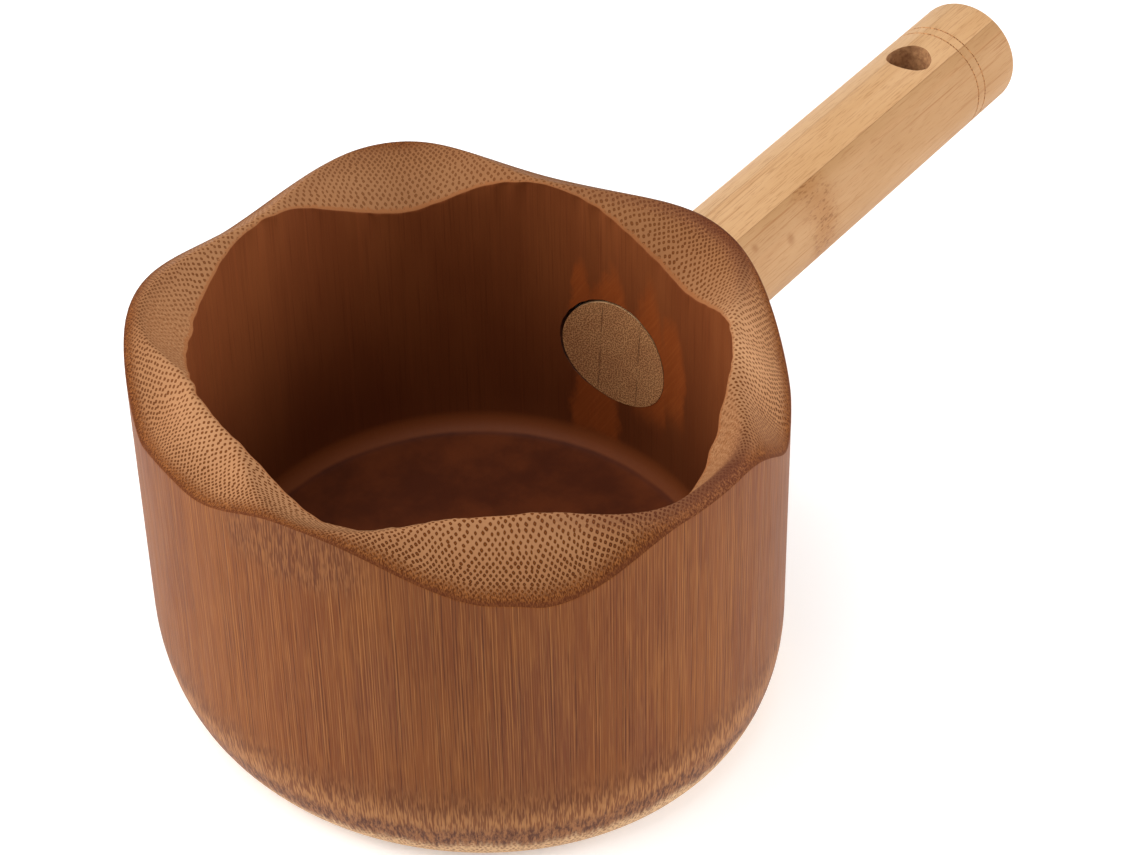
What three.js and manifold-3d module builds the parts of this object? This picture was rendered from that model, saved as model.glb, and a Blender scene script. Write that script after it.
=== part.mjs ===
import * as THREE from 'three';
import { mergeVertices } from 'three/addons/utils/BufferGeometryUtils.js';
import Module from 'manifold-3d';

const wasm = await Module();
wasm.setup();

// A ladle of bamboo. Sizes are in millimetres and angles in degrees. The bowl stands on z = 0
// with the middle of its base at the origin, and the handle runs along +X.

// The bowl is a short length of thick culm. The node that closed it is left in as the floor.
const CULM_DIAMETER = 120;
const CULM_WALL = 11;
const CULM_LEAN = 4.2;
const CULM_LEAN_HEADING = 126;
const BASE_ROUND_RISE = 18.5;
const BASE_ROUND_REACH = 8;
const FLOOR_HEIGHT = 14;
const FLOOR_COVE = 4;

// The rim is carved by hand: scallops that face out and in by turns leave one wavy crest between
// them, which wanders from the inner edge of the wall to the outer edge and back.
const CREST_HEIGHT = 78;
const CREST_FALL = 0.8;
const CREST_FALL_HEADING = 49;
const CREST_MARGIN = 0.75;
const CREST_ROUND = 0.6;
const SCALLOPS = [
  { faces: 'out', at: -53, depth: 11.3 },
  { faces: 'in', at: -20, depth: 9.9 },
  { faces: 'out', at: 18, depth: 7.2 },
  { faces: 'in', at: 49, depth: 9.8 },
  { faces: 'out', at: 86, depth: 9.3 },
  { faces: 'in', at: 125, depth: 5.5 },
  { faces: 'out', at: 167, depth: 8.9 },
  { faces: 'in', at: 186, depth: 8 },
  { faces: 'out', at: 225, depth: 12.5 },
  { faces: 'in', at: 275, depth: 12.9 },
];

// The handle is a round bar turned from three glued strips. It goes right through the wall.
const HANDLE_DIAMETER = 24;
const HANDLE_HEIGHT = 41.7;
const HANDLE_GRIP = 123;
const HANDLE_END_ROUND = 1.8;
const STRIP_THICKNESS = 9;
const STRIP_OFFSET = -0.65;
const HOLE_DIAMETER = 9.6;
const HOLE_FROM_END = 26.6;
const HOLE_OFFSET = 1;
const RING_COUNT = 2;
const RING_FROM_END = 13.6;
const RING_PITCH = 2.7;
const RING_WIDTH = 0.6;
const RING_DEPTH = 0.3;

const GLUE_LINE = 0.3;
const MORTISE_CLEARANCE = 0.3;

const BOWL_SEGMENTS = 96;
const BAR_SEGMENTS = 48;
const ROUND_STEPS = 8;
const COVE_STEPS = 5;
const WALL_STEPS = 3;
const BEVEL_STEPS = 5;

const { degToRad, euclideanModulo, lerp, radToDeg } = THREE.MathUtils;
const culmRadius = CULM_DIAMETER / 2;
const boreRadius = culmRadius - CULM_WALL;
const barRadius = HANDLE_DIAMETER / 2;
const barEnd = culmRadius + HANDLE_GRIP;
const leanSlope = Math.tan(degToRad(CULM_LEAN));

// The middle of the culm at a height.
function culmCentre(height) {
  const heading = degToRad(CULM_LEAN_HEADING);
  const shift = leanSlope * height;
  return new THREE.Vector2(shift * Math.cos(heading), shift * Math.sin(heading));
}

const barCentre = new THREE.Vector3(0, culmCentre(HANDLE_HEIGHT).y, HANDLE_HEIGHT);

// Where the crest lies in the wall, as a share from the inner edge to the outer edge.
function crestShare(scallop) {
  const margin = CREST_MARGIN / CULM_WALL;
  return scallop.faces === 'out' ? margin : 1 - margin;
}

// The crest and the depth of the carving at an angle, blended from the scallops on both sides.
function carvingAt(angle) {
  const first = SCALLOPS[0].at;
  const around = first + euclideanModulo(angle - first, 360);
  const place = SCALLOPS.filter((scallop) => scallop.at <= around).length - 1;
  const before = SCALLOPS[place];
  const after = SCALLOPS[(place + 1) % SCALLOPS.length];
  const part = (around - before.at) / euclideanModulo(after.at - before.at, 360);
  const turned = (1 - Math.cos(Math.PI * part)) / 2;
  const fall = CREST_FALL * Math.cos(degToRad(angle - CREST_FALL_HEADING));
  return {
    crest: lerp(crestShare(before), crestShare(after), turned),
    depth: lerp(before.depth, after.depth, part),
    height: CREST_HEIGHT - fall,
  };
}

// The height of the rim at an angle and a share of the wall.
function rimHeight(angle, share) {
  const carving = carvingAt(angle);
  const slope = carving.depth / (CULM_WALL - CREST_MARGIN);
  const away = CULM_WALL * Math.abs(share - carving.crest);
  return carving.height - slope * (Math.hypot(away, CREST_ROUND) - CREST_ROUND);
}

// A row of the culm gives its radius and height at an angle.
const row = (radius, height) => () => new THREE.Vector2(radius, height);

function baseRows() {
  const rows = [row(0, 0)];
  for (let i = 0; i <= ROUND_STEPS; i += 1) {
    const turn = (Math.PI / 2) * (i / ROUND_STEPS);
    const radius = culmRadius - BASE_ROUND_REACH * (1 - Math.sin(turn));
    rows.push(row(radius, BASE_ROUND_RISE * (1 - Math.cos(turn))));
  }
  return rows;
}

function outerWallRows() {
  const rows = [];
  for (let i = 1; i <= WALL_STEPS; i += 1) {
    rows.push((angle) => {
      const height = lerp(BASE_ROUND_RISE, rimHeight(angle, 1), i / WALL_STEPS);
      return new THREE.Vector2(culmRadius, height);
    });
  }
  return rows;
}

// The rim rows close up on the crest, and follow it round.
function rimRows() {
  const rows = [];
  const rimRow = (shareOf) => (angle) => {
    const share = shareOf(carvingAt(angle).crest);
    return new THREE.Vector2(boreRadius + CULM_WALL * share, rimHeight(angle, share));
  };
  for (let i = BEVEL_STEPS - 1; i >= 0; i -= 1) {
    const spread = (i / BEVEL_STEPS) ** 2;
    rows.push(rimRow((crest) => lerp(crest, 1, spread)));
  }
  for (let i = 1; i <= BEVEL_STEPS; i += 1) {
    const spread = (i / BEVEL_STEPS) ** 2;
    rows.push(rimRow((crest) => lerp(crest, 0, spread)));
  }
  return rows;
}

function innerWallRows() {
  const rows = [];
  const coveTop = FLOOR_HEIGHT + FLOOR_COVE;
  for (let i = 1; i <= WALL_STEPS; i += 1) {
    rows.push((angle) => {
      const height = lerp(rimHeight(angle, 0), coveTop, i / WALL_STEPS);
      return new THREE.Vector2(boreRadius, height);
    });
  }
  return rows;
}

function floorRows() {
  const rows = [];
  for (let i = 1; i <= COVE_STEPS; i += 1) {
    const turn = (Math.PI / 2) * (i / COVE_STEPS);
    const radius = boreRadius - FLOOR_COVE * (1 - Math.cos(turn));
    rows.push(row(radius, FLOOR_HEIGHT + FLOOR_COVE * (1 - Math.sin(turn))));
  }
  rows.push(row(0, FLOOR_HEIGHT));
  return rows;
}

// A body of revolution whose rows may change round the turn, leaning as the culm does.
function culmGeometry(rows) {
  const profile = rows.map((rowAt) => rowAt(0));
  const geometry = new THREE.LatheGeometry(profile, BOWL_SEGMENTS);
  geometry.rotateX(Math.PI / 2);
  const position = geometry.getAttribute('position');
  for (let i = 0; i < position.count; i += 1) {
    const step = Math.floor(i / rows.length) % BOWL_SEGMENTS;
    const angle = step * (360 / BOWL_SEGMENTS);
    const spot = rows[i % rows.length](angle);
    const centre = culmCentre(spot.y);
    const turn = degToRad(angle);
    const x = centre.x + spot.x * Math.cos(turn);
    const y = centre.y + spot.x * Math.sin(turn);
    position.setXYZ(i, x, y, spot.y);
  }
  return geometry;
}

// The room in the bowl, carried on above the rim.
function roomGeometry() {
  const above = CREST_HEIGHT + CREST_FALL + CULM_WALL;
  const wall = [row(boreRadius, FLOOR_HEIGHT + FLOOR_COVE), row(boreRadius, above)];
  const floor = floorRows().reverse();
  return culmGeometry([...floor, ...wall, row(0, above)]);
}

// The turned bar, with its fine rings and its rounded end, before it is fitted to the bowl.
function barGeometry() {
  const profile = [new THREE.Vector2(0, 0), new THREE.Vector2(barRadius, 0)];
  for (let i = RING_COUNT - 1; i >= 0; i -= 1) {
    const ring = barEnd - RING_FROM_END - RING_PITCH * i;
    profile.push(new THREE.Vector2(barRadius, ring - RING_WIDTH / 2));
    profile.push(new THREE.Vector2(barRadius - RING_DEPTH, ring));
    profile.push(new THREE.Vector2(barRadius, ring + RING_WIDTH / 2));
  }
  for (let i = 0; i <= ROUND_STEPS; i += 1) {
    const turn = (Math.PI / 2) * (i / ROUND_STEPS);
    const radius = barRadius - HANDLE_END_ROUND * (1 - Math.cos(turn));
    profile.push(new THREE.Vector2(radius, barEnd - HANDLE_END_ROUND * (1 - Math.sin(turn))));
  }
  profile.push(new THREE.Vector2(0, barEnd));
  const geometry = new THREE.LatheGeometry(profile, BAR_SEGMENTS);
  geometry.rotateZ(-Math.PI / 2);
  return geometry.translate(barCentre.x, barCentre.y, barCentre.z);
}

function mortiseGeometry() {
  const radius = barRadius + MORTISE_CLEARANCE;
  const geometry = new THREE.CylinderGeometry(radius, radius, CULM_DIAMETER, BAR_SEGMENTS);
  geometry.rotateZ(-Math.PI / 2);
  return geometry.translate(CULM_DIAMETER / 2, barCentre.y, barCentre.z);
}

function holeGeometry() {
  const radius = HOLE_DIAMETER / 2;
  const geometry = new THREE.CylinderGeometry(radius, radius, 2 * HANDLE_DIAMETER, BAR_SEGMENTS);
  geometry.rotateX(Math.PI / 2);
  return geometry.translate(barEnd - HOLE_FROM_END, barCentre.y + HOLE_OFFSET, barCentre.z);
}

// The room that one strip takes across the bar, from its low side to its high side.
function slabGeometry(low, high) {
  const geometry = new THREE.BoxGeometry(4 * barEnd, high - low, 2 * HANDLE_DIAMETER);
  return geometry.translate(0, barCentre.y + (low + high) / 2, barCentre.z);
}

function solidOf(geometry) {
  const bare = geometry.clone();
  bare.deleteAttribute('normal');
  bare.deleteAttribute('uv');
  const merged = mergeVertices(bare, 1e-4);
  const corners = merged.getIndex().array;
  const kept = [];
  for (let i = 0; i < corners.length; i += 3) {
    const [a, b, c] = corners.slice(i, i + 3);
    if (a !== b && b !== c && c !== a) kept.push(a, b, c);
  }
  const vertProperties = new Float32Array(merged.getAttribute('position').array);
  const triVerts = new Uint32Array(kept);
  return new wasm.Manifold(new wasm.Mesh({ numProp: 3, vertProperties, triVerts }));
}

function meshOf(name, solid, material) {
  const { vertProperties, triVerts } = solid.getMesh();
  const geometry = new THREE.BufferGeometry();
  geometry.setAttribute('position', new THREE.Float32BufferAttribute(vertProperties, 3));
  geometry.setIndex(new THREE.Uint32BufferAttribute(triVerts, 1));
  geometry.computeVertexNormals();
  const mesh = new THREE.Mesh(geometry, material);
  mesh.name = name;
  return mesh;
}

const wood = (color, roughness) => new THREE.MeshStandardMaterial({ color, roughness, metalness: 0 });

const bowlRows = [...baseRows(), ...outerWallRows(), ...rimRows(), ...innerWallRows(), ...floorRows()];
const bowl = solidOf(culmGeometry(bowlRows)).subtract(solidOf(mortiseGeometry()));

// The foot of the handle ends flush with the inside of the bowl.
const bar = solidOf(barGeometry()).subtract(solidOf(roomGeometry())).subtract(solidOf(holeGeometry()));
const middleLow = STRIP_OFFSET - STRIP_THICKNESS / 2;
const middleHigh = STRIP_OFFSET + STRIP_THICKNESS / 2;
const strip = (low, high) => bar.intersect(solidOf(slabGeometry(low, high)));

const handle = new THREE.Group();
handle.add(
  meshOf('handle_strip_left', strip(middleHigh + GLUE_LINE, HANDLE_DIAMETER), wood('#d8ae7d', 0.55)),
  meshOf('handle_strip_middle', strip(middleLow, middleHigh), wood('#dcb485', 0.55)),
  meshOf('handle_strip_right', strip(-HANDLE_DIAMETER, middleLow - GLUE_LINE), wood('#d0a26c', 0.55)),
);

const ladle = new THREE.Group();
ladle.add(meshOf('bowl', bowl, wood('#8d5a36', 0.5)), handle);

export default ladle;
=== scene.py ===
import math

import bpy
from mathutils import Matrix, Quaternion, Vector, noise


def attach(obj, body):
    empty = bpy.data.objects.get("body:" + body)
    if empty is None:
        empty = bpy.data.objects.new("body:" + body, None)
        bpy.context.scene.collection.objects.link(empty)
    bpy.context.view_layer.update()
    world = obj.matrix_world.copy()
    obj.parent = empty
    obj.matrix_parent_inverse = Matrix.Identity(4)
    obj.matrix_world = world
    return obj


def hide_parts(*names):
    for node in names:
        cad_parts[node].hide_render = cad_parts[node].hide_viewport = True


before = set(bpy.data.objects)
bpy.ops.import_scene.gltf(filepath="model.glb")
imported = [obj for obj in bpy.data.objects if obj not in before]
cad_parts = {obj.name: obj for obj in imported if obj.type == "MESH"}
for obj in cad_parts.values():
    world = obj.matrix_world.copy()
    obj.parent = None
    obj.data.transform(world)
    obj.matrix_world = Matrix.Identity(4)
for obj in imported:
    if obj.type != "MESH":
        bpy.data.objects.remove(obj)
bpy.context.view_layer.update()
mm = 0.001
print("frame loaded")


# view
view = {  # of the photograph, in millimetres and degrees, for a frame of 1140 x 855
    "place": (-388.0, -266.6, 464.8),
    "aim": (25.3, -2.0, 40.0),
    "tilt": 4.43,  # clockwise in the picture
    "focalPixels": 3400,
    "frameWidth": 1140,
    "sensorWidth": 36,
    "clip": (0.01, 50),  # metres
}


def aimed(name, data, place, aim):
    # a camera or a lamp that looks from one place at another
    thing = bpy.data.objects.new(name, data)
    thing.location = place
    thing.rotation_mode = "QUATERNION"
    thing.rotation_quaternion = (Vector(aim) - Vector(place)).to_track_quat("-Z", "Y")
    bpy.context.scene.collection.objects.link(thing)
    return thing


def setCamera():
    data = bpy.data.cameras.new("photoCamera")
    data.sensor_width = view["sensorWidth"]
    data.lens = view["focalPixels"] / view["frameWidth"] * view["sensorWidth"]
    data.clip_start, data.clip_end = view["clip"]
    camera = aimed("photoCamera", data, Vector(view["place"]) * mm, Vector(view["aim"]) * mm)
    camera.rotation_quaternion @= Quaternion((0, 0, 1), math.radians(view["tilt"]))
    bpy.context.scene.camera = camera


setCamera()
print("camera set")


# shapes, all in millimetres and degrees
culm = {
    "radius": 59.97,
    "wall": 10.97,
    "lean": 4.2,  # off upright, and towards which heading
    "leanHeading": 126,
    "baseRise": 18.5,  # how high and how far in the foot is rounded
    "baseReach": 8.0,
    "floorHeight": 14.0,
    "floorCove": 4.0,
}
carving = {
    "crestHeight": 78.0,
    "crestFall": 0.8,  # how far the crest lies below that at this heading, and above it opposite
    "fallHeading": 49,
    "facetWidth": 10.25,  # over which a facet falls by its depth
    "scallops": [  # heading, where the crest is (0 inside, 1 outside), depth, how round the crest is
        (-62, 0.07, 15.2, 3.2),
        (-51, 0.07, 11.1, 1.5),
        (-20, 0.93, 9.1, 0.8),
        (18, 0.07, 6.8, 0.6),
        (49, 0.93, 9.1, 0.8),
        (86, 0.07, 9.0, 0.6),
        (123, 0.78, 7.2, 0.6),
        (147, 0.07, 10.6, 0.6),
        (164, 0.07, 7.2, 0.8),
        (189, 0.93, 7.6, 1.6),
        (221, 0.07, 10.9, 0.8),
        (230, 0.07, 12.3, 0.8),
        (258, 0.80, 16.2, 0.8),
        (271, 0.80, 14.6, 1.2),
    ],
    "tones": [  # heading; how pale, how bold the dots, how burnished the crest with its painted sheen, how plain the inner facet
        (-78, 0.45, 1.0, 0.15, 0.8),
        (-67, 0.55, 1.0, 0.0, 0.3),
        (-56, 0.85, 0.85, 0.0, 0.0),
        (-45, 0.75, 0.8, 0.0, 0.0),
        (-26, 0.35, 0.9, 0.6, 0.0),
        (-14, 0.28, 0.9, 0.7, 0.0),
        (-3, 0.26, 0.8, 0.4, 0.0),
        (20, 0.3, 0.75, 0.0, 0.0),
        (54, 0.42, 0.65, 0.2, 0.0),
        (86, 0.45, 0.7, 0.0, 0.0),
        (108, 0.5, 0.85, 0.1, 0.0),
        (122, 0.5, 0.85, 0.1, 0.6),
        (145, 0.58, 0.9, 0.0, 0.9),
        (160, 0.62, 0.95, 0.0, 0.0),
        (195, 0.6, 1.0, 0.1, 0.0),
        (226, 0.5, 1.0, 0.0, 0.0),
        (252, 0.5, 1.0, 0.6, 0.5),
        (270, 0.5, 0.8, 0.9, 0.9),
    ],
}
boreRadius = culm["radius"] - culm["wall"]
coveTop = culm["floorHeight"] + culm["floorCove"]
leanSlope = math.tan(math.radians(culm["lean"]))
leanX = leanSlope * math.cos(math.radians(culm["leanHeading"]))
leanY = leanSlope * math.sin(math.radians(culm["leanHeading"]))


def lerp(low, high, part):
    return low + (high - low) * part


def ease(part):
    return part * part * (3 - 2 * part)


def between(rows, angle):
    # the rows before and after a heading, and how far it is from one to the other
    first = rows[0][0]
    around = first + (angle - first) % 360
    place = max(i for i, row in enumerate(rows) if row[0] <= around)
    before = rows[place]
    after = rows[(place + 1) % len(rows)]
    return before[1:], after[1:], (around - before[0]) / ((after[0] - before[0]) % 360)


def carvingAt(angle):
    (crest, depth, soft), (nextCrest, nextDepth, nextSoft), part = between(carving["scallops"], angle)
    low, high = sorted((depth, nextDepth))
    rise = part if depth < nextDepth else 1 - part
    fall = carving["crestFall"] * math.cos(math.radians(angle - carving["fallHeading"]))
    return {
        "crest": lerp(crest, nextCrest, (1 - math.cos(math.pi * part)) / 2),
        "depth": lerp(low, high, rise * rise),
        "height": carving["crestHeight"] - fall,
        "soft": lerp(soft, nextSoft, part),
    }


def toneAt(angle):
    before, after, part = between(carving["tones"], angle)
    return [lerp(low, high, part) for low, high in zip(before, after)]


def rimHeight(cut, share):
    soft = cut["soft"]
    away = math.hypot(culm["wall"] * (share - cut["crest"]), soft) - soft
    return cut["height"] - cut["depth"] * away / (math.hypot(carving["facetWidth"], soft) - soft)


# making
tools = {
    "weld": 0.002,  # points closer than this become one
    "drillTurns": 128,
    "drillLength": 60,
    "drillWander": 0.55,  # how quickly a drilled wall wanders, per millimetre
}


def turnPiece(name, points, turns, middle, axis):
    # one loose point is drawn out into a profile, and that is turned about the axis
    bpy.ops.mesh.primitive_plane_add(size=2 * mm)
    piece = bpy.context.object
    piece.name = piece.data.name = name
    bpy.ops.object.mode_set(mode="EDIT")
    bpy.ops.mesh.select_all(action="SELECT")
    bpy.ops.mesh.merge(type="CENTER")
    bpy.ops.transform.translate(value=points[0])
    for start, stop in zip(points, points[1:]):
        move = Vector(stop) - Vector(start)
        bpy.ops.mesh.extrude_region_move(TRANSFORM_OT_translate={"value": move})
    bpy.ops.mesh.select_all(action="SELECT")
    bpy.ops.mesh.spin(steps=turns, angle=2 * math.pi, center=middle, axis=axis)
    bpy.ops.mesh.select_all(action="SELECT")
    bpy.ops.mesh.remove_doubles(threshold=tools["weld"] * mm)
    bpy.ops.mesh.normals_make_consistent(inside=False)
    bpy.ops.object.mode_set(mode="OBJECT")
    return piece


def makeActive(piece):
    bpy.ops.object.select_all(action="DESELECT")
    piece.select_set(True)
    bpy.context.view_layer.objects.active = piece


def cutAway(piece, cutter):
    makeActive(piece)
    bpy.ops.object.modifier_add(type="BOOLEAN")
    cut = piece.modifiers[-1]
    cut.operation = "DIFFERENCE"
    cut.solver = "EXACT"
    cut.material_mode = "TRANSFER"
    cut.object = cutter
    bpy.ops.object.modifier_apply(modifier=cut.name)
    bpy.data.objects.remove(cutter)


def drill(piece, name, radius, place, turn, roughness, material):
    # a drilled hole, whose wall wanders a little
    bpy.ops.mesh.primitive_cylinder_add(
        vertices=tools["drillTurns"], radius=radius * mm, depth=tools["drillLength"] * mm,
    )
    cutter = bpy.context.object
    cutter.name = name
    for point in cutter.data.vertices:
        spot = point.co / mm
        wander = roughness * noise.noise(Vector((spot.x, spot.y, 0)) * tools["drillWander"])
        point.co.x *= 1 + wander / radius
        point.co.y *= 1 + wander / radius
    cutter.rotation_euler = turn
    cutter.location = Vector(place) * mm
    bpy.ops.object.transform_apply(location=True, rotation=True, scale=True)
    cutter.data.materials.append(material)
    cutAway(piece, cutter)


# sums in nodes
def feed(socket, value):
    if isinstance(value, bpy.types.NodeSocket):
        socket.id_data.links.new(value, socket)
    else:
        socket.default_value = value


def newNode(kind, inputs, **settings):
    # a node in the tree that its inputs come from
    tree = next(value.id_data for value in inputs.values() if isinstance(value, bpy.types.NodeSocket))
    node = tree.nodes.new(kind)
    for name, value in settings.items():
        setattr(node, name, value)
    for name, value in inputs.items():
        feed(node.inputs[name], value)
    return node


def calc(operation, *values):
    return newNode("ShaderNodeMath", dict(enumerate(values)), operation=operation).outputs[0]


def times(first, second):
    return calc("MULTIPLY", first, second)


def minus(first, second):
    return calc("SUBTRACT", first, second)


def scaled(value, factor, more):
    return calc("MULTIPLY_ADD", value, factor, more)


def apart(first, second):
    return calc("ABSOLUTE", minus(first, second))


def degreesFrom(place, heading):
    return calc("WRAP", minus(place["degrees"], heading), 180.0, -180.0)


def step(value, none, full):
    # from 0 to 1 as the value goes from none to full, either of which may be the higher
    inputs = {"Value": value, "From Min": min(none, full), "From Max": max(none, full)}
    mask = newNode("ShaderNodeMapRange", inputs, interpolation_type="SMOOTHSTEP").outputs[0]
    return mask if none < full else minus(1.0, mask)


def combine(x, y, z):
    return newNode("ShaderNodeCombineXYZ", {"X": x, "Y": y, "Z": z}).outputs[0]


def parts(vector):
    return newNode("ShaderNodeSeparateXYZ", {"Vector": vector}).outputs


# colours in nodes
def tone(red, green, blue):
    # a screen colour without the curve of the screen
    def straight(value):
        value = value / 255
        return value / 12.92 if value <= 0.04045 else ((value + 0.055) / 1.055) ** 2.4
    return (straight(red), straight(green), straight(blue), 1)


def blend(amount, first, second):
    # a colour is a socket, or its red, green and blue
    first, second = [tone(*colour) if isinstance(colour, tuple) else colour for colour in (first, second)]
    return newNode("ShaderNodeMix", {0: amount, 6: first, 7: second}, data_type="RGBA").outputs[2]


def lay(under, mask, colour, thick):
    return blend(times(mask, thick), under, colour)


def layer(under, value, look):
    # look: a colour, the values at which it is gone and full, and how thick it lies
    colour, none, full, thick = look
    return lay(under, step(value, none, full), colour, thick)


def twoTone(value, look):
    # look: two colours, and the values between which one turns to the other
    first, second, none, full = look
    return blend(step(value, none, full), first, second)


# patterns and finishes in nodes
def objectSpot(tree):
    return tree.nodes.new("ShaderNodeTexCoord").outputs["Object"]


def painted(tree, name):
    # a value that was painted on the mesh
    node = tree.nodes.new("ShaderNodeAttribute")
    node.attribute_name = name
    return node.outputs["Fac"]


def cloud(place, scale=1.0, detail=2.0, rough=0.5):
    inputs = {"Vector": place, "Scale": scale, "Detail": detail, "Roughness": rough}
    return newNode("ShaderNodeTexNoise", inputs).outputs[0]


def cellsOf(place, scale, random, space="3D"):
    inputs = {"Vector": place, "Scale": scale, "Randomness": random}
    return newNode("ShaderNodeTexVoronoi", inputs, voronoi_dimensions=space).outputs["Distance"]


def newFinish(name):
    material = bpy.data.materials.new(name)
    material.use_nodes = True
    tree = material.node_tree
    return material, tree, tree.nodes["Principled BSDF"]


def setSurface(shader, look, colour, roughness, height):
    strength, depth = look["relief"]
    inputs = {"Strength": strength, "Distance": depth * mm, "Height": height}
    feed(shader.inputs["Normal"], newNode("ShaderNodeBump", inputs).outputs["Normal"])
    feed(shader.inputs["Base Color"], colour)
    feed(shader.inputs["Roughness"], roughness)
    feed(shader.inputs["Specular IOR Level"], look["specular"])


def culmPlace(tree):
    # places about the leaning middle of the culm, in millimetres
    east, north, up = parts(objectSpot(tree))
    height = times(up, 1 / mm)
    x = scaled(east, 1 / mm, times(height, -leanX))
    y = scaled(north, 1 / mm, times(height, -leanY))
    angle = calc("ARCTAN2", y, x)
    radius = calc("SQRT", scaled(x, x, times(y, y)))
    safe = calc("MAXIMUM", radius, 0.01)  # never divides by nothing
    return {
        "x": x,
        "y": y,
        "height": height,
        "square": scaled(x, leanX, scaled(y, leanY, height)),  # height along the culm
        "angle": angle,
        "degrees": calc("DEGREES", angle),
        "radius": radius,
        "depth": calc("DIVIDE", minus(radius, boreRadius), culm["wall"]),  # 0 inside, 1 outside
        "east": calc("DIVIDE", x, safe),
        "north": calc("DIVIDE", y, safe),
    }


def ringSpot(place, across, third):
    # a place in a cloud without a seam round the culm; across is per millimetre
    ring = culm["radius"] * across
    return combine(times(place["east"], ring), times(place["north"], ring), third)


def fibre(place, across, along, seed, detail=2.0, rough=0.5):
    # a cloud drawn out along the culm
    return cloud(ringSpot(place, across, scaled(place["height"], along, seed)), 1.0, detail, rough)


def fibresOf(place, look):
    return {name: fibre(place, *values) for name, values in look["fibres"].items()}


# fibre bundles, which show as dots where the knife has cut across them
bundles = {
    "nets": [(0.0, 3), (0.5, 8)],  # shift by part of a spacing, seed
    "innerSpacing": 1.45,  # across the wall, at the inner edge and at the outer edge
    "outerSpacing": 0.64,
    "innerCount": 228,  # round the culm, and how many more after every two rows
    "moreCount": 34,
    "everyRows": 2,
    "jitter": 0.14,
    "halfWidth": 0.225,
    "halfHeight": 0.23,
    "outline": 1.5,  # 1 is a diamond, 2 an oval
    "edge": (1.3, 0.6),
    "driftScale": 0.12,  # the net drifts widely and shakes a little, per millimetre
    "shakeScale": 0.5,
    "shakeLift": 5.0,  # keeps the shaking apart from the drift
    "turnDrift": 0.03,
    "turnShake": 0.008,
    "rowDrift": 0.9,
    "deepest": 1.2,  # share of the wall up to which rows are counted
    "size": (0.3, 0.8),  # of a dot: how much it grows outwards, and what it is inside
    "chanceSize": 0.18,
    "outerPart": (0.3, 0.85),
}


def bundleLattice(angle, row, shift, seed):
    # one net of fibre bundles: how far from the nearest one, and a chance number
    level = calc("ADD", row, shift)
    j = calc("FLOOR", level)
    group = calc("FLOOR", calc("DIVIDE", j, bundles["everyRows"]))
    count = scaled(group, bundles["moreCount"], bundles["innerCount"])
    turned = scaled(calc("DIVIDE", angle, 2 * math.pi), count, shift)
    i = calc("FLOOR", turned)
    key = combine(calc("FLOORED_MODULO", i, count), j, seed)
    chance = newNode("ShaderNodeTexWhiteNoise", {"Vector": key}, noise_dimensions="3D")
    asideChance, upChance, sizeChance = parts(chance.outputs["Color"])

    def away(value, cell, random, half):
        middle = scaled(random, bundles["jitter"], 0.5 - bundles["jitter"] / 2)
        gap = apart(minus(value, cell), middle)
        return calc("POWER", calc("DIVIDE", gap, half), bundles["outline"])

    aside = away(turned, i, asideChance, bundles["halfWidth"])
    up = away(level, j, upChance, bundles["halfHeight"])
    return calc("ADD", aside, up), sizeChance


def bundleDots(place):
    # 1 on a fibre bundle cut across, 0 between them; the bundles crowd towards the outside
    flat = combine(place["x"], place["y"], 0)
    lifted = combine(place["x"], place["y"], bundles["shakeLift"])
    drift = minus(cloud(flat, bundles["driftScale"]), 0.5)
    shake = minus(cloud(lifted, bundles["shakeScale"]), 0.5)
    shaken = scaled(shake, bundles["turnShake"], place["angle"])
    angle = scaled(drift, bundles["turnDrift"], shaken)
    narrowing = bundles["innerSpacing"] - bundles["outerSpacing"]
    depth = calc("MINIMUM", calc("MAXIMUM", place["depth"], 0.0), bundles["deepest"])
    spacing = scaled(depth, -narrowing, bundles["innerSpacing"])
    log = calc("LOGARITHM", calc("DIVIDE", bundles["innerSpacing"], spacing), math.e)
    row = scaled(log, culm["wall"] / narrowing, times(drift, bundles["rowDrift"]))
    nears, chances = zip(*[bundleLattice(angle, row, *net) for net in bundles["nets"]])
    near = calc("MINIMUM", *nears)
    chance = calc("ADD", *chances)
    outer = step(place["depth"], *bundles["outerPart"])
    swell = scaled(chance, bundles["chanceSize"], scaled(outer, *bundles["size"]))
    size = calc("DIVIDE", near, swell)
    return step(size, *bundles["edge"]), size


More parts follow.
